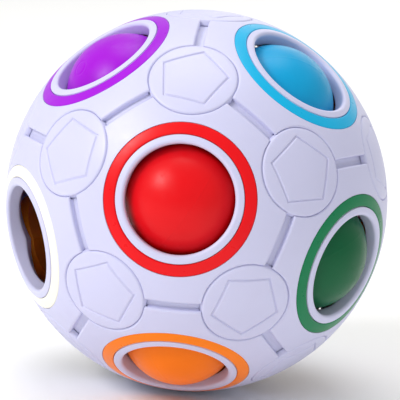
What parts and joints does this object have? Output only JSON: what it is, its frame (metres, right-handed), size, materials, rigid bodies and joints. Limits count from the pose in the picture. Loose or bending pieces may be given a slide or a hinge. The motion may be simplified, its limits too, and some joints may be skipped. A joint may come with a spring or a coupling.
{
  "type": "press-and-slide ball puzzle",
  "caption": "Hollow plastic sphere with round colour-ringed windows, each but one holding a loose ball that is pressed in and slid under the shell into the empty window.",
  "frame": {"origin": "centre of the sphere", "axes": "+Z through the corner cap where three upper windows meet; the red window faces -Y"},
  "size_m": [0.068, 0.0686, 0.068],
  "materials": {
    "shell": "satin moulded ABS, cool white",
    "ring_yellow": "gloss moulded ABS, yellow",
    "ring_purple": "gloss moulded ABS, purple",
    "ring_teal": "gloss moulded ABS, teal",
    "ring_red": "gloss moulded ABS, red",
    "ring_pink": "gloss moulded ABS, pink",
    "ring_blue": "gloss moulded ABS, blue",
    "ring_lime": "gloss moulded ABS, lime",
    "ring_white": "gloss moulded ABS, white",
    "ring_green": "gloss moulded ABS, green",
    "ring_orange": "gloss moulded ABS, orange",
    "ring_brown": "gloss moulded ABS, brown",
    "ring_black": "gloss moulded ABS, black",
    "ball_yellow": "gloss hollow ABS ball, yellow",
    "ball_purple": "gloss hollow ABS ball, purple",
    "ball_teal": "gloss hollow ABS ball, teal",
    "ball_red": "gloss hollow ABS ball, red",
    "ball_pink": "gloss hollow ABS ball, pink",
    "ball_blue": "gloss hollow ABS ball, blue",
    "ball_lime": "gloss hollow ABS ball, lime",
    "ball_green": "gloss hollow ABS ball, green",
    "ball_orange": "gloss hollow ABS ball, orange",
    "ball_brown": "gloss hollow ABS ball, brown",
    "ball_black": "gloss hollow ABS ball, black",
    "post": "satin amber-brown moulded plastic",
    "core": "satin moulded plastic"
  },
  "bodies": {
    "shell": {"panel_yellow": "shell", "panel_purple": "shell", "panel_teal": "shell", "panel_red": "shell", "panel_pink": "shell", "panel_blue": "shell", "panel_lime": "shell", "panel_white": "shell", "panel_green": "shell", "panel_orange": "shell", "panel_brown": "shell", "panel_black": "shell", "ring_yellow": "ring_yellow", "ring_purple": "ring_purple", "ring_teal": "ring_teal", "ring_red": "ring_red", "ring_pink": "ring_pink", "ring_blue": "ring_blue", "ring_lime": "ring_lime", "ring_white": "ring_white", "ring_green": "ring_green", "ring_orange": "ring_orange", "ring_brown": "ring_brown", "ring_black": "ring_black", "cap_01": "shell", "cap_02": "shell", "cap_03": "shell", "cap_04": "shell", "cap_05": "shell", "cap_06": "shell", "cap_07": "shell", "cap_08": "shell", "cap_09": "shell", "cap_10": "shell", "cap_11": "shell", "cap_12": "shell", "cap_13": "shell", "cap_14": "shell", "cap_15": "shell", "cap_16": "shell", "cap_17": "shell", "cap_18": "shell", "cap_19": "shell", "cap_20": "shell", "posts_upper": "post", "posts_lower": "post"},
    "ball_yellow": {"ball_yellow": "ball_yellow"},
    "ball_purple": {"ball_purple": "ball_purple"},
    "ball_teal": {"ball_teal": "ball_teal"},
    "ball_red": {"ball_red": "ball_red"},
    "ball_pink": {"ball_pink": "ball_pink"},
    "ball_blue": {"ball_blue": "ball_blue"},
    "ball_lime": {"ball_lime": "ball_lime"},
    "ball_green": {"ball_green": "ball_green"},
    "ball_orange": {"ball_orange": "ball_orange"},
    "ball_brown": {"ball_brown": "ball_brown"},
    "ball_black": {"ball_black": "ball_black"},
    "core": {"core_upper": "core", "core_lower": "core"}
  },
  "joints": [
    {"name": "ball_purple_travel", "type": "hinge", "parent": "shell", "child": "ball_purple", "pos_m": [-0.06039, -0.03486, 0.02663], "axis": [-0.5, 0.866, 0], "range_deg": [0, 26.57]},
    {"name": "ball_yellow_press", "type": "slide", "parent": "shell", "child": "ball_yellow", "axis": [0, -0.6071, -0.7947], "range_m": [0, 0.0035]},
    {"name": "ball_teal_press", "type": "slide", "parent": "shell", "child": "ball_teal", "axis": [-0.5257, 0.3035, -0.7947], "range_m": [0, 0.0035]},
    {"name": "ball_red_press", "type": "slide", "parent": "shell", "child": "ball_red", "axis": [0, 0.9822, -0.1876], "range_m": [0, 0.0035]},
    {"name": "ball_pink_press", "type": "slide", "parent": "shell", "child": "ball_pink", "axis": [-0.8507, -0.4911, -0.1876], "range_m": [0, 0.0035]},
    {"name": "ball_blue_press", "type": "slide", "parent": "shell", "child": "ball_blue", "axis": [0.8507, -0.4911, -0.1876], "range_m": [0, 0.0035]},
    {"name": "ball_lime_press", "type": "slide", "parent": "shell", "child": "ball_lime", "axis": [0, -0.9822, 0.1876], "range_m": [0, 0.0035]},
    {"name": "ball_green_press", "type": "slide", "parent": "shell", "child": "ball_green", "axis": [-0.8507, 0.4911, 0.1876], "range_m": [0, 0.0035]},
    {"name": "ball_orange_press", "type": "slide", "parent": "shell", "child": "ball_orange", "axis": [0, 0.6071, 0.7947], "range_m": [0, 0.0035]},
    {"name": "ball_brown_press", "type": "slide", "parent": "shell", "child": "ball_brown", "axis": [-0.5257, -0.3035, 0.7947], "range_m": [0, 0.0035]},
    {"name": "ball_black_press", "type": "slide", "parent": "shell", "child": "ball_black", "axis": [0.5257, -0.3035, 0.7947], "range_m": [0, 0.0035]},
    {"name": "core_turn", "type": "hinge", "parent": "shell", "child": "core", "pos_m": [0, 0, 0], "axis": [0, 0, 1], "continuous": true}
  ]
}
